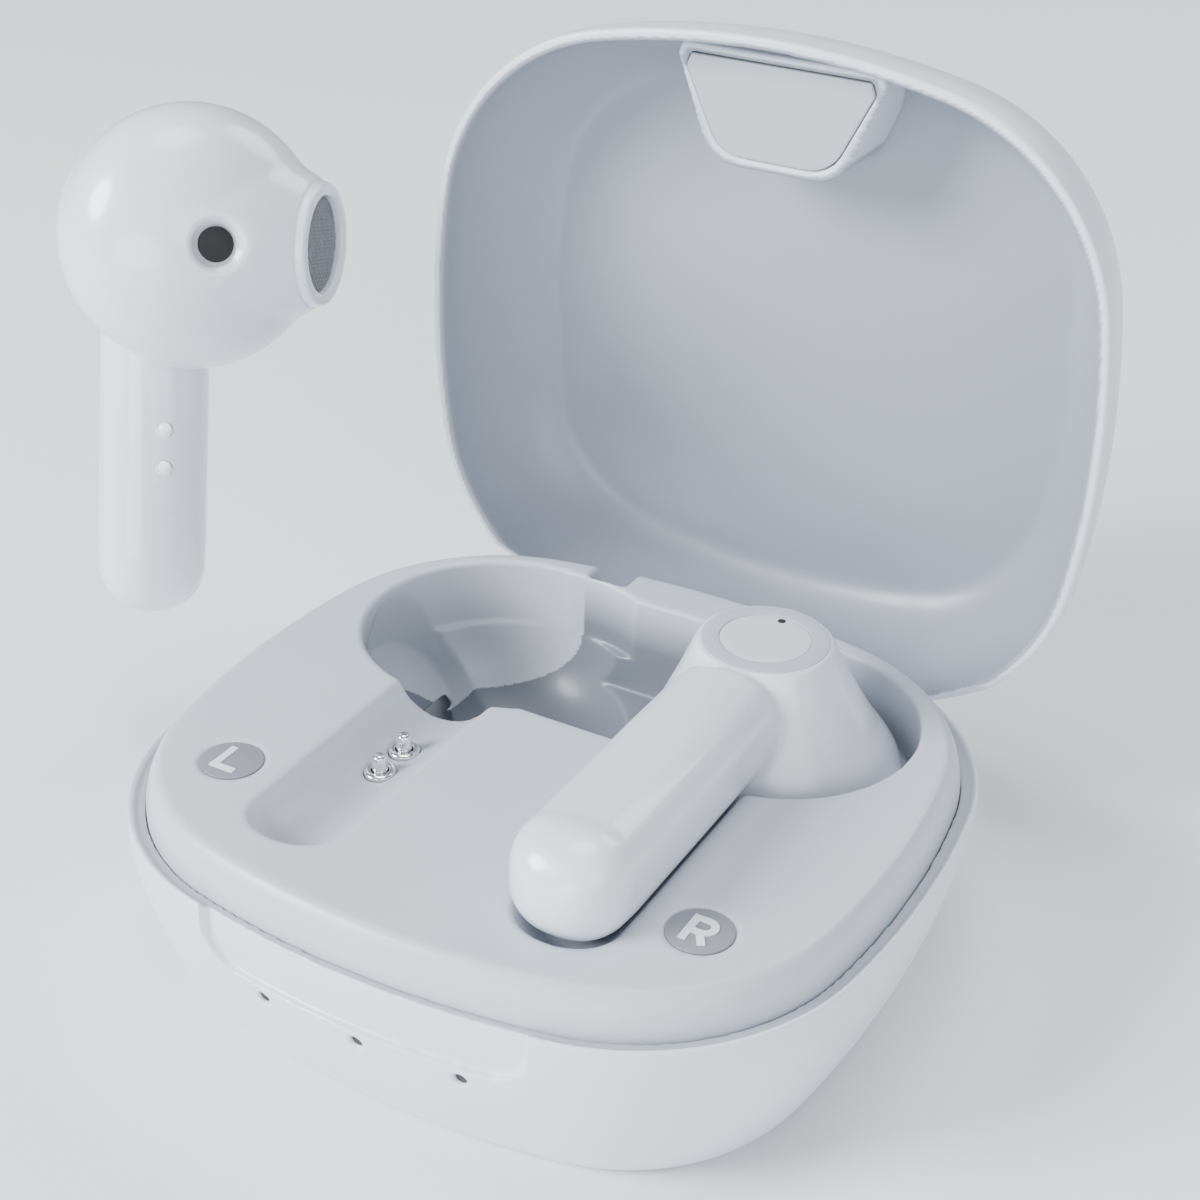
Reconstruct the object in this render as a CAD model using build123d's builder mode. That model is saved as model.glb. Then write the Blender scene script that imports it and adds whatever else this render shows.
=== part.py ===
"""Wireless earbuds case with its two earbuds, lid open, right earbud seated, left one out."""
from build123d import *
from math import atan2, cos, degrees, hypot, radians, sin, sqrt
import os

os.makedirs("parts", exist_ok=True)

# ---- case outline: bowed sides and round corners, all tangent arcs ----
half_width = 24.75
half_depth = 23.27
side_radius = 60.5
front_radius = 56.8
corner_radius = 15.5

# ---- case heights, from the flat bottom ----
rim_z = 12.2
rim_lip = 0.3
rim_step = 0.35
band = 1.35
deck_rise = 2.35
deck_z = rim_z + deck_rise
lid_height = 10.2
lid_band = 1.5
base_inset = 3.8
lid_inset = 4.4
bowl_power = 1.36
lid_power = 1.6
wall = 1.4
floor = 1.4
ledge = 1.1
skirt_gap = 0.06
skirt_drop = 3.0
plate = 1.2
lid_wall = 0.8
lid_roof = 1.1
joint_gap = 0.05

# ---- finger scoop in the front ----
scoop_half_width = 10.8
scoop_height = 4.05
scoop_corner = 2.6
scoop_depth = 0.55
front_middle = 16.0

# ---- hinge ----
hinge_y = 20.6
hinge_z = 8.8
pin_radius = 0.6
knuckle_radius = 1.3
arm_inner_x = 5.9
arm_outer_x = 8.5
arm_gap = 0.15
relief_radius = 4.45

# ---- catch in the lid's front ----
catch_half_width = 6.6
catch_edge_y = -20.8
catch_far_half_width = 3.9
catch_depth = 6.3
catch_rise = 2.75
catch_plate = 0.6

# ---- earbud, as it sits in the right-hand pocket ----
head_x, head_y, head_z = 9.95, 9.7, 9.6
head_radius = 8.75
head_drop = 6.7
cheek_radius = 5.7
parting_z = 11.6
disc_x, disc_y, disc_z = 9.4, 9.15, 20.05
disc_radius = 4.05
disc_depth = 0.4
stem_x, stem_z = 9.05, 16.75
stem_tip_y = -17.5
stem_width = 7.4
stem_height = 6.9
stem_corner = 3.2
nozzle_out, nozzle_down = 8.1, 3.6
nozzle_angle = 53
nozzle_radius = 4.05
nozzle_bore = 3.2
nozzle_root = 6.7
vent_radius = 1.2
bud_wall = 0.9
contact_y = (-6.55, -3.85)
contact_radius = 0.7
contact_z = 13.15
fit_gap = 0.3
lift_tilt = 17

# ---- where the loose left earbud is held ----
free_place = (-33.5, 8.75, 37.9)
free_turn = (-113.4, -50.7, 170.3)

# ---- pockets, grooves and channel in the tray ----
pocket_x, pocket_y, pocket_radius = 10.4, 9.62, 9.1
inner_x = 8.5
cup_wall = 0.8
groove_radius = 4.05
groove_length = 24
channel_half = 10.0
channel_front = 1.85
channel_back = 17.6
channel_floor = 7.0

# ---- charging pins ----
barrel_radius = 1.0
barrel_bore = 0.8
barrel_low, barrel_high = 10.0, 12.95
plunger_radius = 0.5
plunger_length = 2.6
collar_radius = 0.72
collar_length = 0.4
free_tip_z = 14.05
pressed_tip_z = 13.12

# ---- small parts ----
light_x = (-6.6, 0, 6.6)
light_z = 7.2
light_radius = 0.4
light_depth = 1.0
port_z = 4.35
port_width, port_height = 8.94, 3.2
port_front, port_back = 16.0, 21.0
mark_x, mark_y = 15.95, -12.25
mark_radius = 1.97
mark_depth = 0.35

# ---- worked-out places ----
channel_middle = (channel_front + channel_back) / 2
channel_length = channel_back - channel_front
arm_middle = (arm_inner_x + arm_outer_x) / 2
arm_width = arm_outer_x - arm_inner_x
on_floor = (Align.CENTER, Align.CENTER, Align.MIN)
side_centre = half_width - side_radius
front_centre = half_depth - front_radius
hinge_pivot = (hinge_y, hinge_z)
lid_frame = Plane((0, hinge_y - hinge_z, hinge_z + hinge_y), x_dir=(1, 0, 0), z_dir=(0, 1, 0))
lift = Vector(-sin(radians(lift_tilt)), 0, cos(radians(lift_tilt)))
nozzle_dir = Vector(sin(radians(nozzle_angle)), 0, -cos(radians(nozzle_angle)))
head = Vector(head_x, head_y, head_z)
nozzle_end = head + Vector(nozzle_out, 0, -nozzle_down)
lid_top = rim_z + lid_height


def corner_place():
    """Centre of the corner arc, tangent inside the side arc and the front arc."""
    a, b = side_radius - corner_radius, front_radius - corner_radius
    span = hypot(side_centre, front_centre)
    along = (a * a - b * b + span * span) / (2 * span)
    off = sqrt(a * a - along * along)
    ex, ey = -side_centre / span, front_centre / span
    return side_centre + ex * along - ey * off, ey * along + ex * off


corner_x, corner_y = corner_place()
side_angle = atan2(corner_y, corner_x - side_centre)
front_angle = atan2(corner_y - front_centre, corner_x)


def outline(inset, height, frame=Plane.XY):
    """The case outline moved inwards by inset, as a face at height above frame."""
    side, front, corner = side_radius - inset, front_radius - inset, corner_radius - inset
    middle = (side_angle + front_angle) / 2
    x1, y1 = side_centre + side * cos(side_angle), side * sin(side_angle)
    x2, y2 = front * cos(front_angle), front_centre + front * sin(front_angle)
    xm, ym = corner_x + corner * cos(middle), corner_y + corner * sin(middle)
    with BuildSketch(frame.offset(height)) as sketch:
        with BuildLine():
            for s in (1, -1):
                ThreePointArc((s * x1, -y1), (s * (half_width - inset), 0), (s * x1, y1))
                ThreePointArc((-x2, s * y2), (0, s * (half_depth - inset)), (x2, s * y2))
                for t in (1, -1):
                    ThreePointArc((s * x1, t * y1), (s * xm, t * ym), (s * x2, t * y2))
        make_face()
    return sketch.sketch


def bowl(most, start, end, power, skin=0.0, frame=Plane.XY):
    """Faces of a bowl or dome from height start to end, pulled in by up to most."""
    faces = []
    for share in (0, 0.22, 0.45, 0.66, 0.83, 0.94, 1):
        pull = most * (1 - (1 - share**power) ** (1 / power))
        faces.append(outline(pull + skin, start + (end - start) * share, frame))
    return faces


def write(name, part):
    """Label one finished piece and save it."""
    part.label = name
    export_step(part, f"parts/{name}.step")


# =============================== base of the case ===============================
with BuildPart() as finger_scoop:
    # shallow recess in the front wall, up through the rim's outer edge
    with BuildSketch(Plane.XZ.offset(front_middle)):
        with Locations((0, rim_z - scoop_height / 2 + 2)):
            RectangleRounded(2 * scoop_half_width, scoop_height + 4, scoop_corner)
    extrude(amount=half_depth + 1 - front_middle)
    extrude(outline(scoop_depth, rim_z - band), amount=band, mode=Mode.SUBTRACT)
    loft(bowl(base_inset, rim_z - band, 0, bowl_power, scoop_depth), mode=Mode.SUBTRACT)
    with Locations((0, 0, rim_z)):
        Box(80, 80, 10, align=on_floor, mode=Mode.SUBTRACT)

with BuildPart() as base_shell:
    loft(bowl(base_inset, rim_z - band, 0, bowl_power))
    extrude(outline(0, rim_z - band), amount=band)
    loft(bowl(base_inset, rim_z - skirt_drop, floor, bowl_power, wall), mode=Mode.SUBTRACT)
    extrude(outline(ledge, rim_z - skirt_drop), amount=skirt_drop, mode=Mode.SUBTRACT)
    add(finger_scoop.part, mode=Mode.SUBTRACT)
    # sunk step between the rim's outer edge and the tray
    extrude(outline(rim_lip, rim_z - rim_step), amount=rim_step, mode=Mode.SUBTRACT)
    # three holes for the charge lights
    with BuildSketch(Plane.XZ.offset(half_depth - 6)):
        with Locations(*[(x, light_z) for x in light_x]):
            Circle(light_radius + joint_gap)
    extrude(amount=8, mode=Mode.SUBTRACT)
    # charging port slot in the rear wall
    with BuildSketch(Plane.XZ.offset(-half_depth + 5)):
        with Locations((0, port_z)):
            SlotOverall(port_width + 0.36, port_height + 0.3)
    extrude(amount=-8, mode=Mode.SUBTRACT)
    # slots for the hinge arms and a recess for the hinge block
    for s in (1, -1):
        with Locations((s * arm_middle, hinge_y + 2, rim_z - 1.2)):
            Box(arm_width + 2 * arm_gap, 8, 9.6, mode=Mode.SUBTRACT)
    with Locations((0, hinge_y - 0.95, rim_z - 2.55)):
        Box(2 * arm_inner_x, 4.7, 5.2, mode=Mode.SUBTRACT)
write("base_shell", base_shell.part)


# =============================== tray with the pockets ===============================
def dome_profile(grow):
    """Half section of the head's ear side: two tangent arcs, moved out by grow."""
    cheek_x = head_radius - cheek_radius
    sole = (cheek_x**2 + head_drop**2 - cheek_radius**2) / (2 * (head_drop - cheek_radius))
    sole_z = sole - head_drop
    angle = degrees(atan2(-sole_z, cheek_x))
    with BuildSketch(Plane(head, x_dir=(1, 0, 0), z_dir=(0, -1, 0))) as sketch:
        with BuildLine():
            CenterArc((0, sole_z), sole + grow, -90, 90 + angle)
            CenterArc((cheek_x, 0), cheek_radius + grow, angle, -angle)
            Polyline((head_radius + grow, 0), (0, 0), (0, -head_drop - grow))
        make_face()
    return sketch.sketch


head_axis = Axis((head_x, head_y, head_z), (0, 0, 1))


def pocket(grow, top):
    """Room for the head: the ear side's shape, then straight up to top, wider towards the middle."""
    with BuildPart() as room:
        revolve(dome_profile(fit_gap + grow), axis=head_axis)
        for x, y, radius in ((pocket_x, pocket_y, pocket_radius), (inner_x, head_y, head_radius + fit_gap)):
            with BuildSketch(Plane.XY.offset(head_z)):
                with Locations((x, y)):
                    Circle(radius + grow)
            extrude(amount=top - head_z)
    return room.part


def groove(grow, top):
    """Round-ended trough that a stem lies in, open upwards to top."""
    start = Plane((stem_x, stem_tip_y - 0.25 - grow, stem_z), x_dir=(1, 0, 0), z_dir=(0, 1, 0))
    with BuildPart() as bar:
        with BuildSketch(start):
            Circle(groove_radius + grow)
        extrude(amount=groove_length + grow)
        fillet(bar.edges().filter_by(GeomType.CIRCLE).sort_by(Axis.Y)[0], groove_radius - 0.8)
        with Locations((stem_x, 0, top)):
            Box(60, 80, 20, align=on_floor, mode=Mode.SUBTRACT)
    return bar.part


def nozzle(grow, rim, end):
    """Cone from inside the head to the nozzle's rim, run on by end."""
    with BuildPart() as cone:
        with BuildSketch(Plane(head + Vector(1.2, 0, -0.9), x_dir=(0, 1, 0), z_dir=nozzle_dir)):
            Circle(nozzle_root + grow)
        with BuildSketch(Plane(nozzle_end + nozzle_dir * end, x_dir=(0, 1, 0), z_dir=nozzle_dir)):
            Circle(rim)
        loft()
    return cone.part


def nozzle_room():
    """Outside of the tray round the nozzle."""
    with BuildPart() as room:
        with BuildSketch(Plane.XZ.offset(-head_y - 5.6)):
            with BuildLine():
                Polyline((14.9, 1.65), (21.6, 9.3), (20.45, 13.8), (8, 13.8), (8, 2.9), close=True)
            make_face()
        extrude(amount=11.2)
        with BuildSketch(Plane.XY):
            with Locations((10.9, head_y)):
                RectangleRounded(21.4, 11.2, 4.2)
        extrude(amount=deck_z, mode=Mode.INTERSECT)
    return room.part


def nozzle_way():
    """The nozzle with a gap round it, and its way out along the lift."""
    with BuildPart() as way:
        add(nozzle(fit_gap, nozzle_radius + fit_gap, fit_gap))
        for back in (0, 1.2):
            start = nozzle_end + nozzle_dir * (fit_gap - back)
            with BuildSketch(Plane(start, x_dir=(0, 1, 0), z_dir=nozzle_dir)):
                Circle(nozzle_radius + fit_gap + 0.3 * back)
            extrude(amount=9, dir=lift)
    return way.part


def both_sides(part):
    """The right-hand piece and its mirror image."""
    return (part, mirror(part, about=Plane.YZ))


cups = [both_sides(p) for p in (pocket(cup_wall, deck_z - 0.4), groove(cup_wall, deck_z - 0.3), nozzle_room())]
rooms = [both_sides(p) for p in (pocket(0, deck_z + 2), groove(0, deck_z + 2), nozzle_way())]

tray_inset = ledge + skirt_gap
with BuildPart() as inner_tray:
    extrude(outline(tray_inset, rim_z - skirt_drop), amount=skirt_drop)
    loft([outline(tray_inset + pull, rim_z + rise) for pull, rise in
          ((0, 0), (0.16, 0.9), (0.47, 1.7), (1.0, deck_rise))])
    with BuildSketch(Plane.XY.offset(rim_z - skirt_drop)):
        add(outline(3.0, 0))
    extrude(amount=skirt_drop + deck_rise - plate, mode=Mode.SUBTRACT)
    # box under the channel between the pockets
    with Locations((0, channel_middle, channel_floor - cup_wall)):
        Box(2 * channel_half, channel_length + 2 * cup_wall, deck_z - channel_floor, align=on_floor)
    for pair in cups:
        for side in pair:
            add(side)
    # block that carries the hinge pin
    with Locations((0, hinge_y - 1.35, hinge_z + 1.9)):
        Box(2 * arm_inner_x - 2 * arm_gap, 4.0, 6.6)
    with Locations((0, channel_middle, channel_floor)):
        Box(2 * channel_half, channel_length, 12, align=on_floor, mode=Mode.SUBTRACT)
    for pair in rooms:
        for side in pair:
            add(side, mode=Mode.SUBTRACT)
    for s in (1, -1):
        # slot for the arm, seat for the letter disc, holes for the charging pins
        with Locations((s * arm_middle, hinge_y + 1.6, hinge_z + 3.4)):
            Box(arm_width + 2 * arm_gap, 6.4, 10, mode=Mode.SUBTRACT)
        with BuildSketch(Plane.XY.offset(deck_z - mark_depth)):
            with Locations((s * mark_x, mark_y)):
                Circle(mark_radius + 0.02)
        extrude(amount=1, mode=Mode.SUBTRACT)
        with BuildSketch(Plane.XY.offset(barrel_low)):
            with Locations(*[(s * stem_x, y) for y in contact_y]):
                Circle(barrel_radius + 0.02)
        extrude(amount=4, mode=Mode.SUBTRACT)
    with BuildSketch(Plane.YZ.offset(-arm_inner_x)):
        with Locations(hinge_pivot):
            Circle(pin_radius + 0.01)
    extrude(amount=2 * arm_inner_x, mode=Mode.SUBTRACT)
write("inner_tray", inner_tray.part)

with BuildPart() as side_marks:
    with BuildSketch(Plane.XY.offset(deck_z - mark_depth + 0.01)):
        with Locations((mark_x, mark_y), (-mark_x, mark_y)):
            Circle(mark_radius)
    extrude(amount=mark_depth)
write("side_marks", side_marks.part)

# =============================== inside the base ===============================
with BuildPart() as base_battery:
    with Locations((0, -10.75, 4.2)):
        Box(26, 15.5, 5.6, align=on_floor)
    fillet(base_battery.edges().filter_by(Axis.Z), 1.5)
write("base_battery", base_battery.part)

with BuildPart() as main_board:
    with Locations((0, -9.1, 1.9)):
        Box(25, 16.2, 0.8, align=on_floor)
    fillet(main_board.edges().filter_by(Axis.Z), 3)
    with Locations((0, 7.85, 1.9)):
        Box(8, 20.7, 0.8, align=on_floor)
write("main_board", main_board.part)

with BuildPart() as usb_port:
    with BuildSketch(Plane.XZ.offset(-port_front)):
        with Locations((0, port_z)):
            SlotOverall(port_width, port_height)
    extrude(amount=port_front - port_back)
    with BuildSketch(Plane.XZ.offset(-port_front - 0.5)):
        with Locations((0, port_z)):
            SlotOverall(port_width - 0.6, port_height - 0.6)
    extrude(amount=port_front - port_back, mode=Mode.SUBTRACT)
    # contact tongue
    with Locations((0, (port_front + port_back) / 2 - 0.3, port_z)):
        Box(6.6, port_back - port_front - 0.7, 0.7)
write("usb_port", usb_port.part)

with BuildPart() as light_guides:
    for x in light_x:
        tip_y = half_depth - light_depth - x * x / (2 * front_radius)
        with BuildSketch(Plane.XZ.offset(19)):
            with Locations((x, light_z)):
                Circle(light_radius)
        extrude(amount=tip_y - 19)
write("light_guides", light_guides.part)

with BuildPart() as base_magnet:
    with Locations((0, -17.6, 11.0)):
        Box(8.4, 3.2, 2.2, align=on_floor)
    fillet(base_magnet.edges().filter_by(Axis.Z), 0.4)
write("base_magnet", base_magnet.part)

with BuildPart() as holding_magnets:
    with Locations((stem_x, -12.6, 10.0), (-stem_x, -12.6, 10.0)):
        Box(5, 5, 1.75, align=on_floor)
write("holding_magnets", holding_magnets.part)

with BuildPart() as hall_sensor:
    with Locations((0, -13.2, 12.25)):
        Box(2.9, 1.6, 1.05, align=on_floor)
write("hall_sensor", hall_sensor.part)

with BuildPart() as hinge_pin:
    with BuildSketch(Plane.YZ.offset(-arm_outer_x)):
        with Locations(hinge_pivot):
            Circle(pin_radius)
    extrude(amount=2 * arm_outer_x)
write("hinge_pin", hinge_pin.part)

# =============================== charging pins ===============================
for side_name, s, tip_z in (("left", -1, free_tip_z), ("right", 1, pressed_tip_z)):
    with BuildPart() as pin_housings:
        with BuildSketch(Plane.XY.offset(barrel_low)):
            with Locations(*[(s * stem_x, y) for y in contact_y]):
                Circle(barrel_radius)
        extrude(amount=barrel_high - barrel_low)
        with BuildSketch(Plane.XY.offset(barrel_low + 0.3)):
            with Locations(*[(s * stem_x, y) for y in contact_y]):
                Circle(barrel_bore)
        extrude(amount=barrel_high - barrel_low - 1.2, mode=Mode.SUBTRACT)
        with BuildSketch(Plane.XY.offset(barrel_low + 1)):
            with Locations(*[(s * stem_x, y) for y in contact_y]):
                Circle(plunger_radius + 0.06)
        extrude(amount=4, mode=Mode.SUBTRACT)
    write(f"{side_name}_pin_housings", pin_housings.part)
    for place, y in zip(("front", "rear"), contact_y):
        with BuildPart() as plunger:
            with BuildSketch(Plane.XY.offset(tip_z - plunger_length)):
                with Locations((s * stem_x, y)):
                    Circle(plunger_radius)
            extrude(amount=plunger_length)
            fillet(plunger.edges().sort_by(Axis.Z)[-1], 0.35)
            with BuildSketch(Plane.XY.offset(tip_z - plunger_length)):
                with Locations((s * stem_x, y)):
                    Circle(collar_radius)
            extrude(amount=collar_length)
        write(f"{side_name}_{place}_plunger", plunger.part)


# =============================== lid, drawn closed in lid_frame ===============================
def catch_shape(grow, low, high):
    """Column in the lid's front, wide at the front edge and rounded behind."""
    with BuildPart() as column:
        with BuildSketch(lid_frame.offset(low)):
            with BuildLine():
                near, far = catch_edge_y - grow, catch_edge_y + catch_depth + grow
                wide, narrow = catch_half_width + grow, catch_far_half_width + grow
                FilletPolyline((-wide + 0.3, near), (-wide, near + 0.8), (-narrow, far), (narrow, far),
                               (wide, near + 0.8), (wide - 0.3, near), radius=(0.3, 2.6, 2.6, 0.3))
                Line((wide - 0.3, near), (-wide + 0.3, near))
            make_face()
        extrude(amount=high - low)
    return column.part


catch_face = rim_z + catch_rise
with BuildPart() as lid_room:
    extrude(outline(lid_wall, rim_z - 1, lid_frame), amount=lid_band + 1)
    loft(bowl(lid_inset, rim_z + lid_band, lid_top - lid_roof, lid_power, lid_wall, lid_frame))
    add(catch_shape(0.7, catch_face, lid_top), mode=Mode.SUBTRACT)

with BuildPart() as lid_shell:
    extrude(outline(0, rim_z + joint_gap, lid_frame), amount=lid_band - joint_gap)
    loft(bowl(lid_inset, rim_z + lid_band, lid_top, lid_power, 0.0, lid_frame))
    add(lid_room.part, mode=Mode.SUBTRACT)
    add(catch_shape(joint_gap, catch_face - 1, lid_top - 3.4), mode=Mode.SUBTRACT)
    # relief round the hinge, so that the rear rim turns clear of the base
    with BuildSketch(Plane.YZ.offset(-half_width)):
        with Locations(hinge_pivot):
            Circle(relief_radius)
    extrude(amount=2 * half_width, mode=Mode.SUBTRACT)
write("lid_shell", lid_shell.part)

with BuildPart() as catch_cover:
    add(catch_shape(0, catch_face, catch_face + catch_plate))
write("catch_cover", catch_cover.part)

with BuildPart() as lid_magnet:
    with BuildSketch(lid_frame.offset(catch_face + catch_plate + joint_gap)):
        with Locations((0, catch_edge_y + 2.2)):
            RectangleRounded(8.4, 3.2, 0.4)
    extrude(amount=2.2)
write("lid_magnet", lid_magnet.part)

closed_side = Plane(lid_frame.from_local_coords(Vector(0, 0, 0)), x_dir=(0, 0, -1), z_dir=(1, 0, 0))
for name, x in (("left_hinge_arm", -arm_outer_x), ("right_hinge_arm", arm_inner_x)):
    with BuildPart() as arm:
        with BuildSketch(closed_side.offset(x)):
            with BuildLine():
                Polyline((hinge_y - 1.25, hinge_z), (hinge_y - 1.25, 14.6), (hinge_y - 0.3, 16.2),
                         (hinge_y + 0.7, 16.2), (hinge_y + 1.1, 13.7), (hinge_y + 1.1, hinge_z + 2.2),
                         (hinge_y + 1.25, hinge_z), close=True)
            make_face()
            with Locations(hinge_pivot):
                Circle(knuckle_radius)
                Circle(pin_radius + 0.05, mode=Mode.SUBTRACT)
        extrude(amount=arm_width)
    write(name, arm.part)


# =============================== earbud ===============================
head_rings = ((head_z, head_x, head_y, head_radius), (parting_z, 9.9, 9.65, 8.3), (14.55, 9.65, 9.4, 6.9),
              (17.2, 9.5, 9.25, 5.55), (disc_z, disc_x, disc_y, disc_radius + 0.25))


def ring(z, x, y, radius):
    """Round face of the head's outer half at height z."""
    with BuildSketch(Plane.XY.offset(z)) as sketch:
        with Locations((x, y)):
            Circle(radius)
    return sketch.sketch


def head_part(low, high, grow, top=0.0):
    """The head's outer half between two of its rings, moved out by grow."""
    return [ring(z + (top if z == high else 0), x, y, radius + grow)
            for z, x, y, radius in head_rings if low <= z <= high]


def stem(grow, back_y):
    """Round-tipped stem from its tip to back_y."""
    with BuildPart() as bar:
        with BuildSketch(Plane((stem_x, stem_tip_y - grow, stem_z), x_dir=(1, 0, 0), z_dir=(0, 1, 0))):
            RectangleRounded(stem_width + 2 * grow, stem_height + 2 * grow, stem_corner + grow)
        extrude(amount=back_y - stem_tip_y + grow)
        fillet(bar.faces().sort_by(Axis.Y)[0].edges(), 2.6 + grow)
    return bar.part


free_spot = Location(free_place, free_turn)


def write_pair(name, part):
    """Save the seated right piece, and its mirror image moved to the free left earbud."""
    write(f"right_{name}", part)
    other = mirror(part, about=Plane.YZ).moved(Location((head_x, -head_y, -head_z))).moved(free_spot)
    write(f"left_{name}", other)


with BuildPart() as outer_housing:
    loft(head_part(parting_z, disc_z, 0))
    add(stem(0, disc_y - 3.5))
    loft(head_part(parting_z, disc_z, -bud_wall, -bud_wall), mode=Mode.SUBTRACT)
    add(stem(-bud_wall, disc_y - 3.5), mode=Mode.SUBTRACT)
    with BuildSketch(Plane.XY.offset(disc_z - disc_depth)):
        with Locations((disc_x, disc_y)):
            Circle(disc_radius + 0.02)
    extrude(amount=2, mode=Mode.SUBTRACT)
    with BuildSketch(Plane.XY.offset(contact_z)):
        with Locations(*[(stem_x, y) for y in contact_y]):
            Circle(contact_radius + 0.02)
    extrude(amount=2, mode=Mode.SUBTRACT)
write_pair("outer_housing", outer_housing.part)

with BuildPart() as ear_housing:
    loft(head_part(head_z, parting_z, 0, -joint_gap))
    revolve(dome_profile(0), axis=head_axis)
    add(nozzle(0, nozzle_radius, 0))
    with Locations((head_x, head_y, parting_z - joint_gap)):
        Box(40, 40, 10, align=on_floor, mode=Mode.SUBTRACT)
    revolve(dome_profile(-bud_wall), axis=head_axis, mode=Mode.SUBTRACT)
    loft(head_part(head_z, parting_z, -bud_wall, 0.1), mode=Mode.SUBTRACT)
    add(nozzle(-bud_wall, nozzle_bore, 0.1), mode=Mode.SUBTRACT)
    with BuildSketch(Plane.XY):
        with Locations((head_x, head_y)):
            Circle(vent_radius)
    extrude(amount=head_z, mode=Mode.SUBTRACT)
write_pair("ear_housing", ear_housing.part)

with BuildPart() as touch_disc:
    with BuildSketch(Plane.XY.offset(disc_z - disc_depth + 0.02)):
        with Locations((disc_x, disc_y)):
            Circle(disc_radius)
    extrude(amount=disc_depth)
write_pair("touch_disc", touch_disc.part)

with BuildPart() as nozzle_mesh:
    with BuildSketch(Plane(nozzle_end - nozzle_dir * 0.75, x_dir=(0, 1, 0), z_dir=nozzle_dir)):
        Circle(nozzle_bore)
    extrude(amount=0.35)
write_pair("nozzle_mesh", nozzle_mesh.part)

with BuildPart() as vent_mesh:
    with BuildSketch(Plane.XY.offset(head_z - head_drop + 0.3)):
        with Locations((head_x, head_y)):
            Circle(vent_radius - 0.03)
    extrude(amount=0.35)
write_pair("vent_mesh", vent_mesh.part)

with BuildPart() as contacts:
    with BuildSketch(Plane.XY.offset(contact_z)):
        with Locations(*[(stem_x, y) for y in contact_y]):
            Circle(contact_radius)
    extrude(amount=1.3)
write_pair("contacts", contacts.part)

with BuildPart() as battery:
    with BuildSketch(Plane.XY.offset(13.6)):
        with Locations((9.5, 9.25)):
            Circle(3.9)
    extrude(amount=3.8)
write_pair("battery", battery.part)

with BuildPart() as driver:
    with BuildSketch(Plane(head + Vector(2.5, 0, -1.2) - nozzle_dir * 0.9, x_dir=(0, 1, 0), z_dir=nozzle_dir)):
        Circle(4.4)
    extrude(amount=1.8)
write_pair("driver", driver.part)

with BuildPart() as board:
    with Locations((stem_x, -5.5, 17.2)):
        Box(4.4, 18, 0.6, align=on_floor)
write_pair("board", board.part)

with BuildPart() as magnet:
    with Locations((stem_x, -12.6, 14.9)):
        Box(3.8, 4.4, 1.8, align=on_floor)
write_pair("magnet", magnet.part)
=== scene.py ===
"""Wireless earbuds case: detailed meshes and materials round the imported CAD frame."""
from math import atan2, cos, pi, radians, sin, sqrt

import bpy
import numpy as np
from mathutils import Matrix, Vector


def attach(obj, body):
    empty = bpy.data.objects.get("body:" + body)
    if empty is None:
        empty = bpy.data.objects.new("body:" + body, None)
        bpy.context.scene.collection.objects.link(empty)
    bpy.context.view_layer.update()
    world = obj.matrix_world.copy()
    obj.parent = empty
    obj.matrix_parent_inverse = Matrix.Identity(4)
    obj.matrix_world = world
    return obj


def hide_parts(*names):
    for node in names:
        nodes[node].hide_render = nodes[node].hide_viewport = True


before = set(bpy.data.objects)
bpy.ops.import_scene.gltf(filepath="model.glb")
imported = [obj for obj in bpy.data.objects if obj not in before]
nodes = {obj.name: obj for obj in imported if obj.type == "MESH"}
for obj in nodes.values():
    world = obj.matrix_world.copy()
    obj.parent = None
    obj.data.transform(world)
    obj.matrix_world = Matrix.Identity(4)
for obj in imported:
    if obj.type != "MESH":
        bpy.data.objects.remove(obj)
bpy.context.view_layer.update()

MM = 0.001

# ---- places shared with the CAD part, in millimetres ----
DECK_Z = 14.55
RIM_Z = 12.2
HEAD = Vector((9.95, 9.7, 9.6))
HEAD_RADIUS = 8.75
CHEEK_RADIUS = 5.7
HEAD_DROP = 6.7
DISC = Vector((9.4, 9.15, 20.05))
DISC_RADIUS = 4.05
STEM_X, STEM_Z = 9.05, 16.75
STEM_TIP_Y = -17.5
STEM_HALF_WIDTH, STEM_HALF_HEIGHT = 3.7, 3.45
NOZZLE_ANGLE = radians(53)
NOZZLE_DIR = Vector((sin(NOZZLE_ANGLE), 0, -cos(NOZZLE_ANGLE)))
NOZZLE_END = HEAD + Vector((8.1, 0, -3.6))
NOZZLE_RADIUS = 4.05
NOZZLE_BORE = 3.2
CONTACT_Y = (-6.55, -3.85)
FREE_PLACE = Vector((-33.5, 8.75, 37.9))
FREE_TURN = (radians(-113.4), radians(-50.7), radians(170.3))
MARK = Vector((15.95, -12.25, DECK_Z))

# ---- skins: voxel size and smoothing steps ----
BASE_VOXEL, BASE_STEPS = 0.15, 5
DEEP_VOXEL, DEEP_STEPS = 0.16, 9
SMALL_VOXEL, SMALL_STEPS = 0.1, 3
BUD_VOXEL, BUD_STEPS = 0.2, 5
BLEND_STEPS = 90
SHRINK, GROW = 0.55, -0.35

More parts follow.
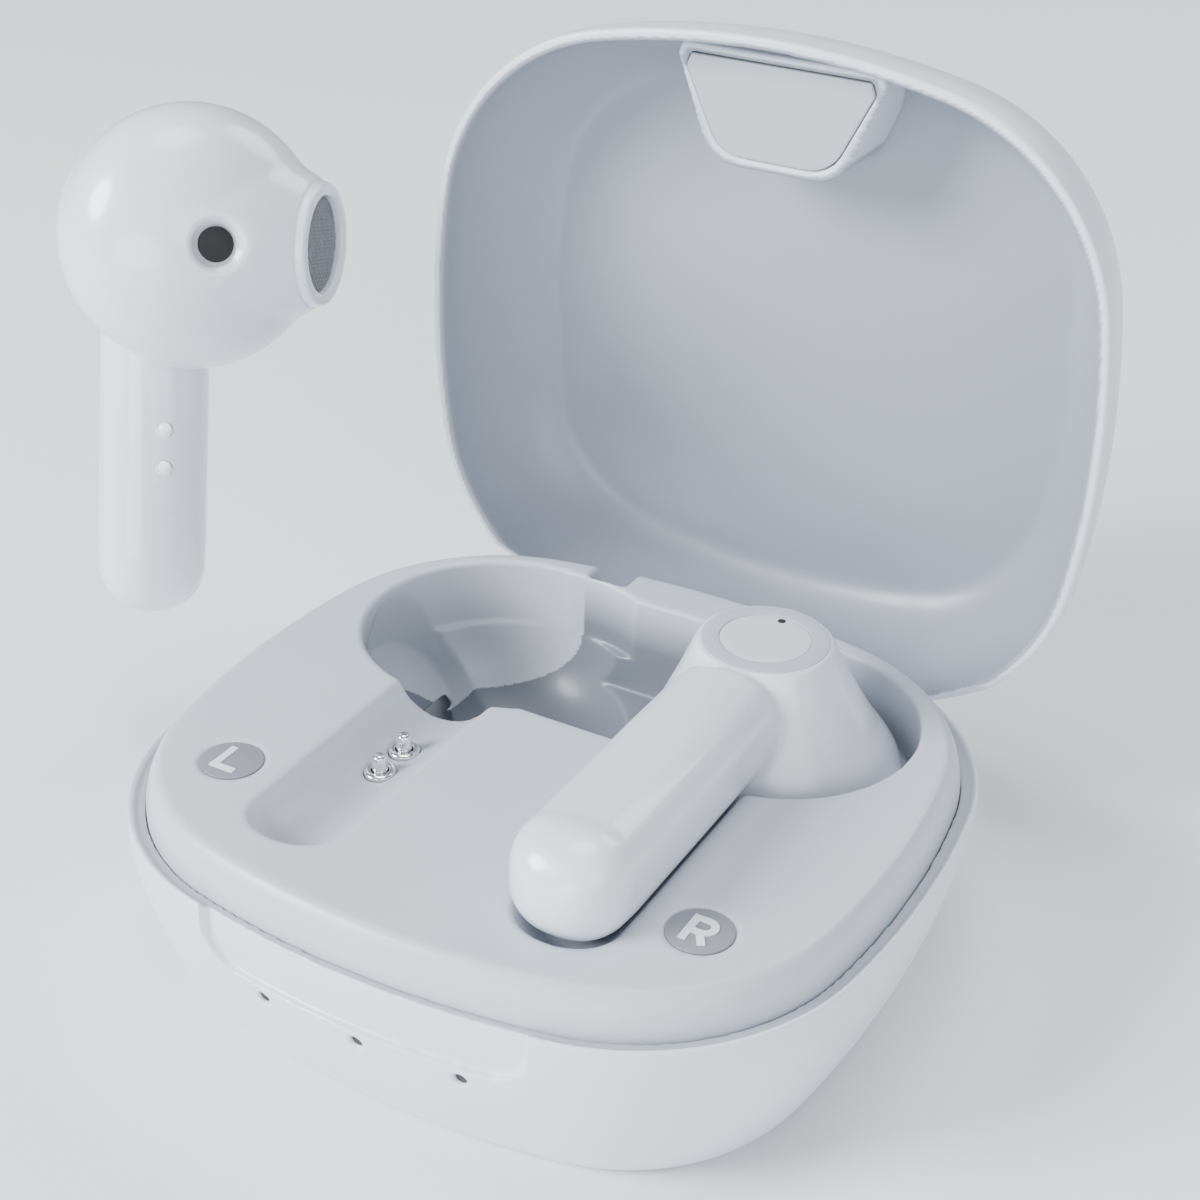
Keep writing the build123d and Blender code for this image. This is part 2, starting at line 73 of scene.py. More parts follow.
# ---- earbud shape beyond the CAD's ----
STEM_TOP_POWER, STEM_UNDER_POWER = 2.8, 2.3
STEM_CAP, STEM_CAP_POWER = 3.6, 2.1
NECK_ROOT, NECK_END, NECK_SWELL = 6.75, 4.2, 0.6
NECK_STOP = 0.6
SCREEN_HOLLOW = 1.3
VENT_FUNNEL, VENT_SLOPE, VENT_SINK = 1.9, 0.75, 0.75
PAD_RADIUS = 2.87
VENT_RECESS = 0.36
MIC_RADIUS, MIC_OFFSET = 0.26, 2.4
SCREEN_PITCH, SCREEN_WIRE, SCREEN_DEPTH = 0.24, 0.1, 0.62
STEM_JOIN_Y, STEM_JOIN_LOW, STEM_JOIN_HIGH = 2.6, 11.5, 19.6
NECK_JOIN, NECK_REACH, NECK_WEIGHT = 4.0, 7.2, 0.4

# ---- charging pins and letter discs ----
FREE_TIP_Z, PRESSED_TIP_Z = 14.05, 13.12
PLUNGER_LENGTH, COLLAR_LENGTH = 2.6, 0.4
PLUNGER_RADIUS, COLLAR_RADIUS = 0.5, 0.72
MARK_RADIUS, MARK_THICKNESS = 1.95, 0.34
LETTER_WIDTH, LETTER_RISE = 0.46, 0.035

# ---- where the painted shade of the hollows begins ----
POCKET_START, POCKET_FADE = 0.6, 3.2
POCKET_HALF_X, POCKET_HALF_Y, POCKET_MIDDLE_Y = 21.5, 20, 0.5
LID_MIDDLE = np.array((0, 25.5, 31.0))
LID_FADE = 0.12
RIM_STEP = 0.35

# the left earbud: the right one mirrored, then turned and moved to where it is held
FREE_MATRIX = (Matrix.Translation(FREE_PLACE)
               @ Matrix.Rotation(FREE_TURN[0], 4, "X") @ Matrix.Rotation(FREE_TURN[1], 4, "Y")
               @ Matrix.Rotation(FREE_TURN[2], 4, "Z")
               @ Matrix.Translation((HEAD.x, -HEAD.y, -HEAD.z)) @ Matrix.Scale(-1, 4, (1, 0, 0)))


# =============================== mesh helpers ===============================
def make_object(name, verts, faces, smooth=True):
    """A mesh object from points in millimetres."""
    mesh = bpy.data.meshes.new(name)
    mesh.from_pydata([tuple(c * MM for c in v) for v in verts], [], faces)
    mesh.update()
    obj = bpy.data.objects.new(name, mesh)
    bpy.context.scene.collection.objects.link(obj)
    if smooth:
        mesh.polygons.foreach_set("use_smooth", [True] * len(mesh.polygons))
    return obj


def tube(rings, close_start=True, close_end=True):
    """Points and faces of a skin over rings of equally many points."""
    count = len(rings[0])
    verts = [p for ring in rings for p in ring]
    faces = []
    for i in range(len(rings) - 1):
        for j in range(count):
            k = (j + 1) % count
            faces.append((i * count + j, i * count + k, (i + 1) * count + k, (i + 1) * count + j))
    if close_start:
        faces.append(tuple(reversed(range(count))))
    if close_end:
        faces.append(tuple(range((len(rings) - 1) * count, len(rings) * count)))
    return verts, faces


def circle(centre, radius, across, up, count=64):
    """Points of a circle about centre, turning from across towards up."""
    return [centre + across * (radius * cos(2 * pi * i / count)) + up * (radius * sin(2 * pi * i / count))
            for i in range(count)]


def lathe(name, profile, centre, axis, count=64):
    """A round piece: profile is a list of (radius, height along axis) from one end to the other."""
    axis = Vector(axis).normalized()
    across = axis.orthogonal().normalized()
    up = axis.cross(across)
    rings = [circle(Vector(centre) + axis * h, max(r, 0.002), across, up, count) for r, h in profile]
    verts, faces = tube(rings)
    return make_object(name, verts, faces)


def rounded(points, radius, steps=4):
    """A profile with each inner corner rounded."""
    out = [points[0]]
    for before, here, after in zip(points, points[1:], points[2:]):
        a = Vector(before) - Vector(here)
        b = Vector(after) - Vector(here)
        r = min(radius, a.length / 2.2, b.length / 2.2)
        start = Vector(here) + a.normalized() * r
        end = Vector(here) + b.normalized() * r
        for i in range(steps + 1):
            t = i / steps
            out.append(tuple(start * (1 - t) ** 2 + Vector(here) * 2 * t * (1 - t) + end * t * t))
    out.append(points[-1])
    return out


def apply_modifiers(obj):
    """Bakes an object's modifiers into its mesh."""
    view = bpy.context.evaluated_depsgraph_get()
    mesh = bpy.data.meshes.new_from_object(obj.evaluated_get(view))
    obj.modifiers.clear()
    obj.data = mesh


def remesh(obj, voxel):
    """Fuses overlapping closed shapes into one even skin."""
    modifier = obj.modifiers.new("remesh", "REMESH")
    modifier.mode = "VOXEL"
    modifier.voxel_size = voxel * MM
    modifier.use_smooth_shade = True
    apply_modifiers(obj)


def points_of(obj):
    """The mesh's points as an array in millimetres."""
    co = np.empty(len(obj.data.vertices) * 3)
    obj.data.vertices.foreach_get("co", co)
    return co.reshape(-1, 3) / MM


def set_points(obj, co):
    obj.data.vertices.foreach_set("co", (co * MM).ravel())
    obj.data.update()


def relax(obj, steps, weight=1.0):
    """Evens the skin: each point moves towards its neighbours' middle and back out, by its weight."""
    co = points_of(obj)
    edges = np.empty(len(obj.data.edges) * 2, np.int64)
    obj.data.edges.foreach_get("vertices", edges)
    a, b = edges[0::2], edges[1::2]
    count = np.bincount(np.concatenate((a, b)), minlength=len(co))[:, None]
    weight = np.broadcast_to(np.asarray(weight, float).reshape(-1, 1), (len(co), 1))
    for _ in range(steps):
        for push in (SHRINK, GROW):
            total = np.zeros_like(co)
            for axis in range(3):
                total[:, axis] = (np.bincount(a, co[b, axis], len(co)) + np.bincount(b, co[a, axis], len(co)))
            co = co + (total / count - co) * push * weight
    set_points(obj, co)


def joined(name, shapes):
    """One object from several (points, faces) shapes."""
    verts, faces = [], []
    for shape_verts, shape_faces in shapes:
        start = len(verts)
        verts += shape_verts
        faces += [tuple(i + start for i in face) for face in shape_faces]
    return make_object(name, verts, faces)


def placed(obj, side):
    """Leaves the right-hand piece where it is; mirrors and moves the left-hand one."""
    if side == "left":
        scaled = Matrix.Scale(MM, 4) @ FREE_MATRIX @ Matrix.Scale(1 / MM, 4)
        obj.data.transform(scaled)
        obj.data.flip_normals()
    return obj


def softened(name, node, voxel, steps):
    """A copy of a CAD node with its sharp edges rounded, as moulded plastic has them."""
    obj = bpy.data.objects.new(name, nodes[node].data.copy())
    obj.data.materials.clear()
    bpy.context.scene.collection.objects.link(obj)
    remesh(obj, voxel)
    relax(obj, steps)
    return obj


def paint_hollow_shade(obj, share):
    """Stores for each point how much painted shade it gets in a hollow, where a darker colour stands in for
    shade.
    """
    layer = obj.data.attributes.new("hollow_shade", "FLOAT", "POINT")
    layer.data.foreach_set("value", np.clip(share, 0, 1).astype(np.float32))


def normals_of(obj):
    """The mesh's point normals as an array."""
    out = np.empty(len(obj.data.vertices) * 3, np.float32)
    obj.data.vertex_normals.foreach_get("vector", out)
    return out.reshape(-1, 3)


# =============================== materials ===============================
def new_material(name):
    material = bpy.data.materials.new(name)
    material.use_nodes = True
    tree = material.node_tree
    return material, tree, tree.nodes["Principled BSDF"]


def noise(tree, scale, detail=3.0, coordinates="Object"):
    texture = tree.nodes.new("ShaderNodeTexNoise")
    texture.inputs["Scale"].default_value = scale
    texture.inputs["Detail"].default_value = detail
    place = tree.nodes.new("ShaderNodeTexCoord")
    tree.links.new(place.outputs[coordinates], texture.inputs["Vector"])
    return texture.outputs["Fac"]


def ramp(tree, source, low, high, start=0.35, end=0.65):
    """Maps a texture to a range of colours."""
    node = tree.nodes.new("ShaderNodeValToRGB")
    node.color_ramp.elements[0].position = start
    node.color_ramp.elements[1].position = end
    node.color_ramp.elements[0].color = (*low, 1)
    node.color_ramp.elements[1].color = (*high, 1)
    tree.links.new(source, node.inputs["Fac"])
    return node.outputs["Color"]


def spread(tree, source, low, high):
    """Maps a texture to a range of values."""
    node = tree.nodes.new("ShaderNodeMapRange")
    node.inputs["From Min"].default_value = 0.3
    node.inputs["From Max"].default_value = 0.7
    node.inputs["To Min"].default_value = low
    node.inputs["To Max"].default_value = high
    tree.links.new(source, node.inputs["Value"])
    return node.outputs["Result"]


def bump(tree, shader, source, strength, distance):
    node = tree.nodes.new("ShaderNodeBump")
    node.inputs["Strength"].default_value = strength
    node.inputs["Distance"].default_value = distance
    tree.links.new(source, node.inputs["Height"])
    tree.links.new(node.outputs["Normal"], shader.inputs["Normal"])


def plastic(name, colour, roughness, grain=0.12, coat=0.0, shade_colour=None):
    """Moulded plastic, faintly cloudy and unevenly glossy; the optional darker colour is painted shade in
    hollows.
    """
    material, tree, shader = new_material(name)
    darker = [c * 0.975 for c in colour]
    cloud = noise(tree, 90, 4)
    surface = ramp(tree, cloud, darker, colour)
    if shade_colour:
        # the stored hollow mask mixes in painted shade, a darker colour where shade falls in hollows
        hollow_shade_node = tree.nodes.new("ShaderNodeAttribute")
        hollow_shade_node.attribute_name = "hollow_shade"
        mix = tree.nodes.new("ShaderNodeMixRGB")
        mix.inputs["Color2"].default_value = (*shade_colour, 1)
        tree.links.new(hollow_shade_node.outputs["Fac"], mix.inputs["Fac"])
        tree.links.new(surface, mix.inputs["Color1"])
        surface = mix.outputs["Color"]
    tree.links.new(surface, shader.inputs["Base Color"])
    gloss = spread(tree, noise(tree, 260, 5), roughness * 0.85, roughness * 1.2)
    tree.links.new(gloss, shader.inputs["Roughness"])
    bump(tree, shader, noise(tree, 5200, 2), grain, 0.00002)
    shader.inputs["IOR"].default_value = 1.5
    shader.inputs["Coat Weight"].default_value = coat
    shader.inputs["Coat Roughness"].default_value = 0.12
    shader.inputs["Subsurface Weight"].default_value = 0.06
    shader.inputs["Subsurface Radius"].default_value = (0.002, 0.002, 0.002)
    return material


def metal(name, colour, roughness, grain_scale=3000, grain=0.1):
    """Plated metal with fine uneven polish."""
    material, tree, shader = new_material(name)
    surface = ramp(tree, noise(tree, 1400, 3), [c * 0.9 for c in colour], colour)
    tree.links.new(surface, shader.inputs["Base Color"])
    gloss = spread(tree, noise(tree, 2500, 4), roughness * 0.8, roughness * 1.4)
    tree.links.new(gloss, shader.inputs["Roughness"])
    bump(tree, shader, noise(tree, grain_scale, 2), grain, 0.00001)
    shader.inputs["Metallic"].default_value = 1.0
    return material


WHITE = (0.74, 0.785, 0.865)
GLOSSY_WHITE = (0.76, 0.80, 0.875)
# painted shade: darker greys for the pockets, the rim step and the lid's inside, where shade falls on the same
# white plastic
POCKET_SHADE_GREY = (0.19, 0.21, 0.25)
RIM_STEP_SHADE_GREY = (0.42, 0.45, 0.51)
LID_SHADE_GREY = (0.33, 0.36, 0.42)
case_white = plastic("case_white", WHITE, 0.34, coat=0.25, shade_colour=RIM_STEP_SHADE_GREY)
# the tray's white is darkened as painted shade of the upward-facing deck
shaded_tray_white = plastic("shaded_tray_white", [c * 0.77 for c in WHITE], 0.4, coat=0.1, shade_colour=POCKET_SHADE_GREY)
# the catch cover's white is darkened as painted shade inside the lid
shaded_cover_white = plastic("shaded_cover_white", [c * 0.6 for c in WHITE], 0.42)
lid_white = plastic("lid_white", WHITE, 0.38, coat=0.1, shade_colour=LID_SHADE_GREY)
bud_white = plastic("bud_white", GLOSSY_WHITE, 0.24, grain=0.06, coat=0.4)
disc_ring_white = plastic("disc_ring_white", (0.50, 0.545, 0.61), 0.34)
disc_white = plastic("disc_white", (0.68, 0.70, 0.76), 0.42)
mark_grey = plastic("mark_grey", (0.24, 0.255, 0.29), 0.5)
letter_white = plastic("letter_white", (0.82, 0.84, 0.89), 0.45)
dark_hole = plastic("dark_hole", (0.02, 0.02, 0.022), 0.8, grain=0.3)
light_lens = plastic("light_lens", (0.03, 0.032, 0.036), 0.3)
arm_white = plastic("arm_white", [c * 0.95 for c in WHITE], 0.42)
chip_black = plastic("chip_black", (0.03, 0.03, 0.035), 0.5)
board_green = plastic("board_green", (0.03, 0.13, 0.08), 0.45)
pin_silver = metal("pin_silver", (0.93, 0.93, 0.94), 0.14)
contact_silver = metal("contact_silver", (0.95, 0.955, 0.96), 0.3)
steel = metal("steel", (0.62, 0.62, 0.64), 0.3)
foil = metal("foil", (0.7, 0.71, 0.73), 0.42, 900, 0.5)
mesh_wire = metal("mesh_wire", (0.36, 0.37, 0.40), 0.45)
mesh_back = plastic("mesh_back", (0.13, 0.135, 0.15), 0.7, grain=0.4)


def finish_piece(obj, material, body, slot_name, *replaced):
    """Material, body, slot (not used) and the CAD nodes that a piece stands for."""
    obj.data.materials.clear()
    obj.data.materials.append(material)
    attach(obj, body)
    if replaced:
        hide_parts(*replaced)
    return obj


# =============================== case shells ===============================
base = softened("base_skin", "base_shell", BASE_VOXEL, BASE_STEPS)
base_points, base_normals = points_of(base), normals_of(base)
# painted shade on the upward-facing ledge of the rim step
paint_hollow_shade(base, (base_normals[:, 2] - 0.6) / 0.3 * (np.abs(base_points[:, 2] - RIM_Z + RIM_STEP) < 0.15))
finish_piece(base, case_white, "base", "case_plastic", "base_shell")
tray = softened("tray_skin", "inner_tray", DEEP_VOXEL, DEEP_STEPS)
tray_points = points_of(tray)
# painted shade deepening down into the earbud pockets
in_plan = np.hypot(tray_points[:, 0] / POCKET_HALF_X, (tray_points[:, 1] - POCKET_MIDDLE_Y) / POCKET_HALF_Y) < 1
paint_hollow_shade(tray, (DECK_Z - POCKET_START - tray_points[:, 2]) / POCKET_FADE * in_plan)
finish_piece(tray, shaded_tray_white, "base", "tray_plastic", "inner_tray")
lid = softened("lid_skin", "lid_shell", DEEP_VOXEL, DEEP_STEPS)
# painted shade on the lid's inner faces
towards = LID_MIDDLE - points_of(lid)
facing = (normals_of(lid) * towards).sum(1) / np.linalg.norm(towards, axis=1)
paint_hollow_shade(lid, facing / LID_FADE)
finish_piece(lid, lid_white, "lid", "case_plastic", "lid_shell")
cover = softened("catch_cover_skin", "catch_cover", SMALL_VOXEL, SMALL_STEPS)
finish_piece(cover, shaded_cover_white, "lid", "tray_plastic", "catch_cover")
for side in ("left", "right"):
    arm = softened(f"{side}_arm_skin", f"{side}_hinge_arm", SMALL_VOXEL, SMALL_STEPS)
    finish_piece(arm, arm_white, "lid", "arm_plastic", f"{side}_hinge_arm")


# =============================== earbud ===============================
def head_shape():
    """The head: a shallow dome on the ear side, narrowing outwards to the disc."""
    cheek_x = HEAD_RADIUS - CHEEK_RADIUS
    sole = (cheek_x**2 + HEAD_DROP**2 - CHEEK_RADIUS**2) / (2 * (HEAD_DROP - CHEEK_RADIUS))
    sole_z = sole - HEAD_DROP
    turn = atan2(-sole_z, cheek_x)
    rings = []
    for i in range(1, 13):
        a = -pi / 2 + (turn + pi / 2) * i / 12
        rings.append((HEAD.z + sole_z + sole * sin(a), HEAD.x, HEAD.y, sole * cos(a)))
    for i in range(1, 13):
        a = turn - turn * i / 12
        rings.append((HEAD.z + CHEEK_RADIUS * sin(a), HEAD.x, HEAD.y, cheek_x + CHEEK_RADIUS * cos(a)))
    upper = np.array([(HEAD.z, HEAD.x, HEAD.y, 8.75), (11.6, 9.9, 9.65, 8.3), (14.55, 9.65, 9.4, 6.9),
                      (17.2, 9.5, 9.25, 5.55), (19.3, 9.42, 9.17, 4.62), (20.0, 9.4, 9.15, 4.3)])
    for z in np.linspace(HEAD.z, 20.0, 24)[1:]:
        row = [np.interp(z, upper[:, 0], upper[:, i]) for i in (1, 2, 3)]
        bulge = 0.25 * sin(pi * min(1, (z - HEAD.z) / 4.5))
        rings.append((z, row[0], row[1], row[2] + bulge * (z < 14.1)))
    across, up = Vector((1, 0, 0)), Vector((0, 1, 0))
    return tube([circle(Vector((x, y, z)), r, across, up, 96) for z, x, y, r in rings])


def stem_section(y, share, lift=0.0):
    """Points of the stem's section: flat on top, rounder below."""
    points = []
    for i in range(64):
        a = 2 * pi * i / 64
        power = 2 / (STEM_TOP_POWER if sin(a) > 0 else STEM_UNDER_POWER)
        x = STEM_HALF_WIDTH * share * abs(cos(a)) ** power * (1 if cos(a) >= 0 else -1)
        z = STEM_HALF_HEIGHT * share * abs(sin(a)) ** power * (1 if sin(a) >= 0 else -1)
        points.append(Vector((STEM_X + x, y, STEM_Z + lift + z)))
    return points


def stem_shape():
    """The stem with its rounded tip, run into the head."""
    rings = []
    for i in range(1, 15):
        d = STEM_CAP * (1 - cos(pi / 2 * i / 14))
        share = (1 - ((STEM_CAP - d) / STEM_CAP) ** STEM_CAP_POWER) ** (1 / STEM_CAP_POWER)
        rings.append(stem_section(STEM_TIP_Y + d, share))
    for y in np.linspace(STEM_TIP_Y + STEM_CAP + 1, DISC.y - 4.6, 16):
        rings.append(stem_section(float(y), 1.0, -0.12))
    return tube(rings)


def nozzle_shape():
    """A flared neck from the head towards the nozzle's lip."""
    root = HEAD + Vector((1.2, 0, -0.9))
    end = NOZZLE_END - NOZZLE_DIR * NECK_STOP
    across, up = Vector((0, 1, 0)), NOZZLE_DIR.cross(Vector((0, 1, 0)))
    rings = []
    for i in range(17):
        t = i / 16
        radius = NECK_ROOT + (NECK_END - NECK_ROOT) * t + NECK_SWELL * sin(pi * t)
        rings.append(circle(root.lerp(end, t), radius, across, up))
    return tube(rings)


def bud_skin(side):
    """Head, stem and nozzle as one smooth moulding."""
    obj = joined(f"{side}_earbud_skin", [head_shape(), stem_shape(), nozzle_shape()])
    remesh(obj, BUD_VOXEL)
    co = points_of(obj)
    # wide soft blends where the stem and the nozzle meet the head, little change elsewhere
    stem_join = np.clip(1.4 - np.abs(co[:, 1] - STEM_JOIN_Y) / 3.0, 0, 1)
    stem_join *= (co[:, 2] > STEM_JOIN_LOW) * (co[:, 2] < STEM_JOIN_HIGH)
    along = (co - np.array(NOZZLE_END)) @ np.array(NOZZLE_DIR)
    radial = np.linalg.norm(co - np.array(NOZZLE_END) - along[:, None] * np.array(NOZZLE_DIR), axis=1)
    neck = NECK_WEIGHT * np.clip(1.2 - np.abs(along + NECK_JOIN) / 1.9, 0, 1) * (radial < NECK_REACH)
    relax(obj, BUD_STEPS)
    relax(obj, BLEND_STEPS, np.maximum(stem_join, neck))
    co = points_of(obj)
    # hollow behind the screen
    along = (co - np.array(NOZZLE_END)) @ np.array(NOZZLE_DIR)
    radial = np.linalg.norm(co - np.array(NOZZLE_END) - along[:, None] * np.array(NOZZLE_DIR), axis=1)
    sunk = np.clip((NOZZLE_BORE + 0.35 - radial) / 0.15, 0, 1) * (along > -1.1)
    co -= sunk[:, None] * SCREEN_HOLLOW * np.array(NOZZLE_DIR)
    # shallow funnel for the vent
    reach = np.hypot(co[:, 0] - HEAD.x, co[:, 1] - HEAD.y)
    sink = np.clip((VENT_FUNNEL - reach) / VENT_SLOPE, 0, 1) * (co[:, 2] < 5)
    co[:, 2] += VENT_SINK * sink * sink * (3 - 2 * sink)
    set_points(obj, co)
    return obj


def mesh_screen(name, centre, axis, radius, pitch, wire):
    """A woven screen: two layers of fine wires that pass over and under each other."""
    axis = Vector(axis).normalized()
    across = Vector((0, 1, 0))
    up = axis.cross(across).normalized()
    shapes = []
    count = int(radius / pitch)
    for direction, other in ((across, up), (up, across)):
        for i in range(-count, count + 1):
            offset = i * pitch
            half = sqrt(max(radius**2 - offset**2, 0.01))
            steps = max(3, int(2 * half / pitch) * 2)
            rings = []
            for s in range(steps + 1):
                along = -half + 2 * half * s / steps
                wave = 0.5 * wire * cos(pi * along / pitch + pi * i) * (1 if direction == across else -1)
                middle = Vector(centre) + other * offset + direction * along + axis * wave
                rings.append(circle(middle, wire / 2, other, axis, 5))
            shapes.append(tube(rings))
    return joined(name, shapes)


def make_earbud(side):
    """All of one earbud's visible pieces."""
    body = f"{side}_earbud"
    skin = placed(bud_skin(side), side)
    finish_piece(skin, bud_white, body, "bud_plastic", f"{side}_outer_housing", f"{side}_ear_housing")

    lip = rounded([(NOZZLE_BORE, -1.1), (NOZZLE_BORE, -0.02), (NOZZLE_RADIUS, -0.02),
                   (NOZZLE_RADIUS + 0.15, -0.6),
                   (NOZZLE_RADIUS + 0.05, -1.2), (NOZZLE_BORE + 0.05, -1.3)], 0.34, 6)
    lip_ring = placed(ring_piece(f"{side}_nozzle_lip", lip, NOZZLE_END, NOZZLE_DIR), side)
    finish_piece(lip_ring, bud_white, body, "bud_plastic")

    screen = placed(mesh_screen(f"{side}_nozzle_screen", NOZZLE_END - NOZZLE_DIR * SCREEN_DEPTH, NOZZLE_DIR,
                                NOZZLE_BORE - 0.02, SCREEN_PITCH, SCREEN_WIRE), side)
    finish_piece(screen, mesh_wire, body, "mesh_metal", f"{side}_nozzle_mesh")
    backing = placed(lathe(f"{side}_nozzle_backing", [(0, -0.92), (NOZZLE_BORE, -0.92), (NOZZLE_BORE, -0.74),
                                                      (0, -0.74)], NOZZLE_END, NOZZLE_DIR), side)
    finish_piece(backing, mesh_back, body, "mesh_metal")

    vent_z = HEAD.z - HEAD_DROP + VENT_RECESS
    vent = placed(lathe(f"{side}_vent_screen", [(0, 0.3), (1.12, 0.3), (1.15, 0.0), (0.9, -0.05), (0, -0.07)],
                        (HEAD.x, HEAD.y, vent_z), (0, 0, 1)), side)
    finish_piece(vent, dark_hole, body, "mesh_metal", f"{side}_vent_mesh")

    ring_profile = rounded([(2.9, -0.3), (2.9, 0.0), (DISC_RADIUS, -0.05), (DISC_RADIUS, -0.35),
                            (2.95, -0.36)], 0.06, 3)
    ring_place = DISC + Vector((0, 0, 0.06))
    disc_ring = placed(ring_piece(f"{side}_disc_ring", ring_profile, ring_place, (0, 0, 1)), side)
    finish_piece(disc_ring, disc_ring_white, body, "bud_plastic", f"{side}_touch_disc")
    pad = rounded([(0, -0.3), (PAD_RADIUS, -0.3), (PAD_RADIUS, -0.015), (2.0, 0.0), (0, 0.0)], 0.05, 3)
    disc = placed(lathe(f"{side}_disc_pad", pad, DISC + Vector((0, 0, 0.05)), (0, 0, 1)), side)
    finish_piece(disc, disc_white, body, "bud_plastic")
    mic = placed(lathe(f"{side}_mic_hole", [(0, -0.1), (MIC_RADIUS, -0.1), (MIC_RADIUS, 0.006), (0.2, 0.012),
                                                 (0, 0.012)],
                       DISC + Vector((0.0, MIC_OFFSET, 0.055)), (0, 0, 1), 24), side)
    finish_piece(mic, dark_hole, body, "mesh_metal")

    spots = []
    for i, y in enumerate(CONTACT_Y):
        profile = rounded([(0, 0.6), (0.68, 0.6), (0.7, 0.08), (0.5, 0.0), (0, -0.02)], 0.1, 4)
        spot = lathe(f"{side}_contact_{i + 1}", profile, (STEM_X, y, 13.16), (0, 0, 1), 40)
        spots.append(placed(spot, side))
    finish_piece(spots[0], contact_silver, body, "pin_metal", f"{side}_contacts")
    finish_piece(spots[1], contact_silver, body, "pin_metal", f"{side}_contacts")


def ring_piece(name, profile, centre, axis, count=96):
    """A ring: a closed profile of (radius, height) turned about axis."""
    axis = Vector(axis).normalized()
    across = axis.orthogonal().normalized()
    up = axis.cross(across)
    rings = [circle(Vector(centre) + axis * h, r, across, up, count) for r, h in profile]
    verts, faces = tube(rings + [rings[0]], False, False)
    last = (len(rings)) * count
    faces = [tuple(i - last if i >= last else i for i in face) for face in faces]
    return make_object(name, verts[:last], faces)


for side in ("left", "right"):
    make_earbud(side)


# =============================== charging pins ===============================
for side, sign, tip_z in (("left", -1, FREE_TIP_Z), ("right", 1, PRESSED_TIP_Z)):
    housings = []
    for place, y in zip(("front", "rear"), CONTACT_Y):
        foot = (sign * STEM_X, y, 0)
        foot_z = tip_z - PLUNGER_LENGTH
        collar_z = foot_z + COLLAR_LENGTH
        tip = rounded([(0, foot_z), (COLLAR_RADIUS, foot_z), (COLLAR_RADIUS, collar_z),
                       (PLUNGER_RADIUS, collar_z), (PLUNGER_RADIUS, tip_z - 0.5), (0.42, tip_z - 0.12),
                       (0.22, tip_z - 0.01), (0, tip_z)], 0.12, 3)
        pin = lathe(f"{side}_{place}_pin", tip, foot, (0, 0, 1), 40)
        finish_piece(pin, pin_silver, f"{side}_{place}_plunger", "pin_metal", f"{side}_{place}_plunger")
        barrel = rounded([(0.57, 12.0), (0.57, 12.93), (0.78, 12.95), (1.0, 12.85), (1.0, 12.0)], 0.12, 4)
        housings.append(ring_piece(f"{side}_{place}_pin_flange", barrel, foot, (0, 0, 1), 48))
    for flange in housings:
        finish_piece(flange, pin_silver, "base", "pin_housing", f"{side}_pin_housings")


# =============================== letter discs ===============================
def stroke(points, width, low, high):
    """A flat bar along points with rounded corners, as (points, faces)."""
    left, right = [], []
    for i, p in enumerate(points):
        before = Vector(points[max(i - 1, 0)])
        after = Vector(points[min(i + 1, len(points) - 1)])
        d = (after - before).normalized()
        n = Vector((-d.y, d.x))
        left.append(Vector(p) + n * width / 2)
        right.append(Vector(p) - n * width / 2)
    loop = left + right[::-1]
    count = len(loop)
    verts = [Vector((q.x, q.y, low)) for q in loop] + [Vector((q.x, q.y, high)) for q in loop]
    faces = [(i, (i + 1) % count, count + (i + 1) % count, count + i) for i in range(count)]
    half = len(left)
    for i in range(half - 1):
        j, k = count - 1 - i, count - 2 - i
        faces.append((count + i, count + i + 1, count + k, count + j))
        faces.append((i, j, k, i + 1))
    return verts, faces


def letter_lines(letter):
    """Strokes of a plain capital, about 2.4 mm tall, centred on the disc."""
    if letter == "L":
        return [[(-0.62, 1.15), (-0.62, -1.15)], [(-0.88, -0.93), (0.85, -0.93)]]
    bowl = [(-0.4, 0.93)] + [(0.12 + 0.56 * sin(a), 0.37 + 0.56 * cos(a)) for a in np.linspace(0, pi, 12)]
    return [[(-0.62, 1.15), (-0.62, -1.15)], bowl + [(-0.4, -0.19)], [(0.05, -0.2), (0.62, -1.15)]]


for letter, sign, side in (("L", -1, "left"), ("R", 1, "right")):
    place = Vector((sign * MARK.x, MARK.y, 0))
    top = DECK_Z + 0.005
    edge = rounded([(0, top - MARK_THICKNESS), (MARK_RADIUS, top - MARK_THICKNESS),
                    (MARK_RADIUS, top - 0.03), (0, top - 0.03)], 0.06, 3)
    disc = lathe(f"{side}_letter_disc", edge, place, (0, 0, 1), 64)
    finish_piece(disc, mark_grey, "base", "mark_grey", "side_marks")
    shapes = []
    for i, line in enumerate(letter_lines(letter)):
        verts, faces = stroke(line, LETTER_WIDTH, DECK_Z - 0.06, DECK_Z + LETTER_RISE + 0.003 * i)
        shapes.append(([v + place for v in verts], faces))
    letter_piece = joined(f"{side}_letter", shapes)
    letter_piece.data.polygons.foreach_set("use_smooth", [False] * len(letter_piece.data.polygons))
    finish_piece(letter_piece, letter_white, "base", "mark_grey")


# =============================== CAD nodes that stay ===============================
kept = {"base_battery": foil, "main_board": board_green, "usb_port": steel, "light_guides": light_lens,
        "base_magnet": steel, "holding_magnets": steel, "hall_sensor": chip_black, "hinge_pin": steel,
        "lid_magnet": steel}
for side in ("left", "right"):
    kept.update({f"{side}_battery": foil, f"{side}_driver": chip_black, f"{side}_board": board_green,
                 f"{side}_magnet": steel})
for node, material in kept.items():
    nodes[node].data.materials.clear()
    nodes[node].data.materials.append(material)

